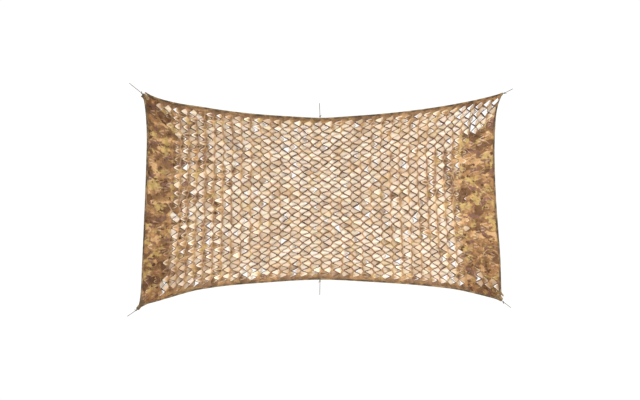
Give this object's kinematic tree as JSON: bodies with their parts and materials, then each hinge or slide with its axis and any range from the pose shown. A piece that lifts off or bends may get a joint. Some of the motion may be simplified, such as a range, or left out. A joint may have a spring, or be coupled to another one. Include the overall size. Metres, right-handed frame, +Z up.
{
  "type": "camouflage netting",
  "caption": "Die-cut camouflage netting stretched flat by short guy cords, with rolled hems, standing tongues and closed side bands.",
  "frame": {"origin": "middle of the net's top hem, where the top middle cord is tied on", "axes": "+X along the net's length to the viewer's right, +Z up, the front face looks along -Y"},
  "size_m": [3.2265, 0.061, 1.9541],
  "materials": {
    "net_cloth": "thin woven polyester printed in sand, khaki and brown blotches, matt with a faint sheen",
    "cord": "twisted plain cord, olive grey, matt"
  },
  "bodies": {
    "root": {"net_cloth": "net_cloth", "tie_top_left": "cord", "tie_top_middle": "cord", "tie_top_right": "cord", "tie_bottom_left": "cord", "tie_bottom_middle": "cord", "tie_bottom_right": "cord", "cord_top_left": "cord", "cord_top_middle": "cord", "cord_top_right": "cord", "cord_bottom_left": "cord", "cord_bottom_middle": "cord", "cord_bottom_right": "cord"}
  },
  "joints": []
}
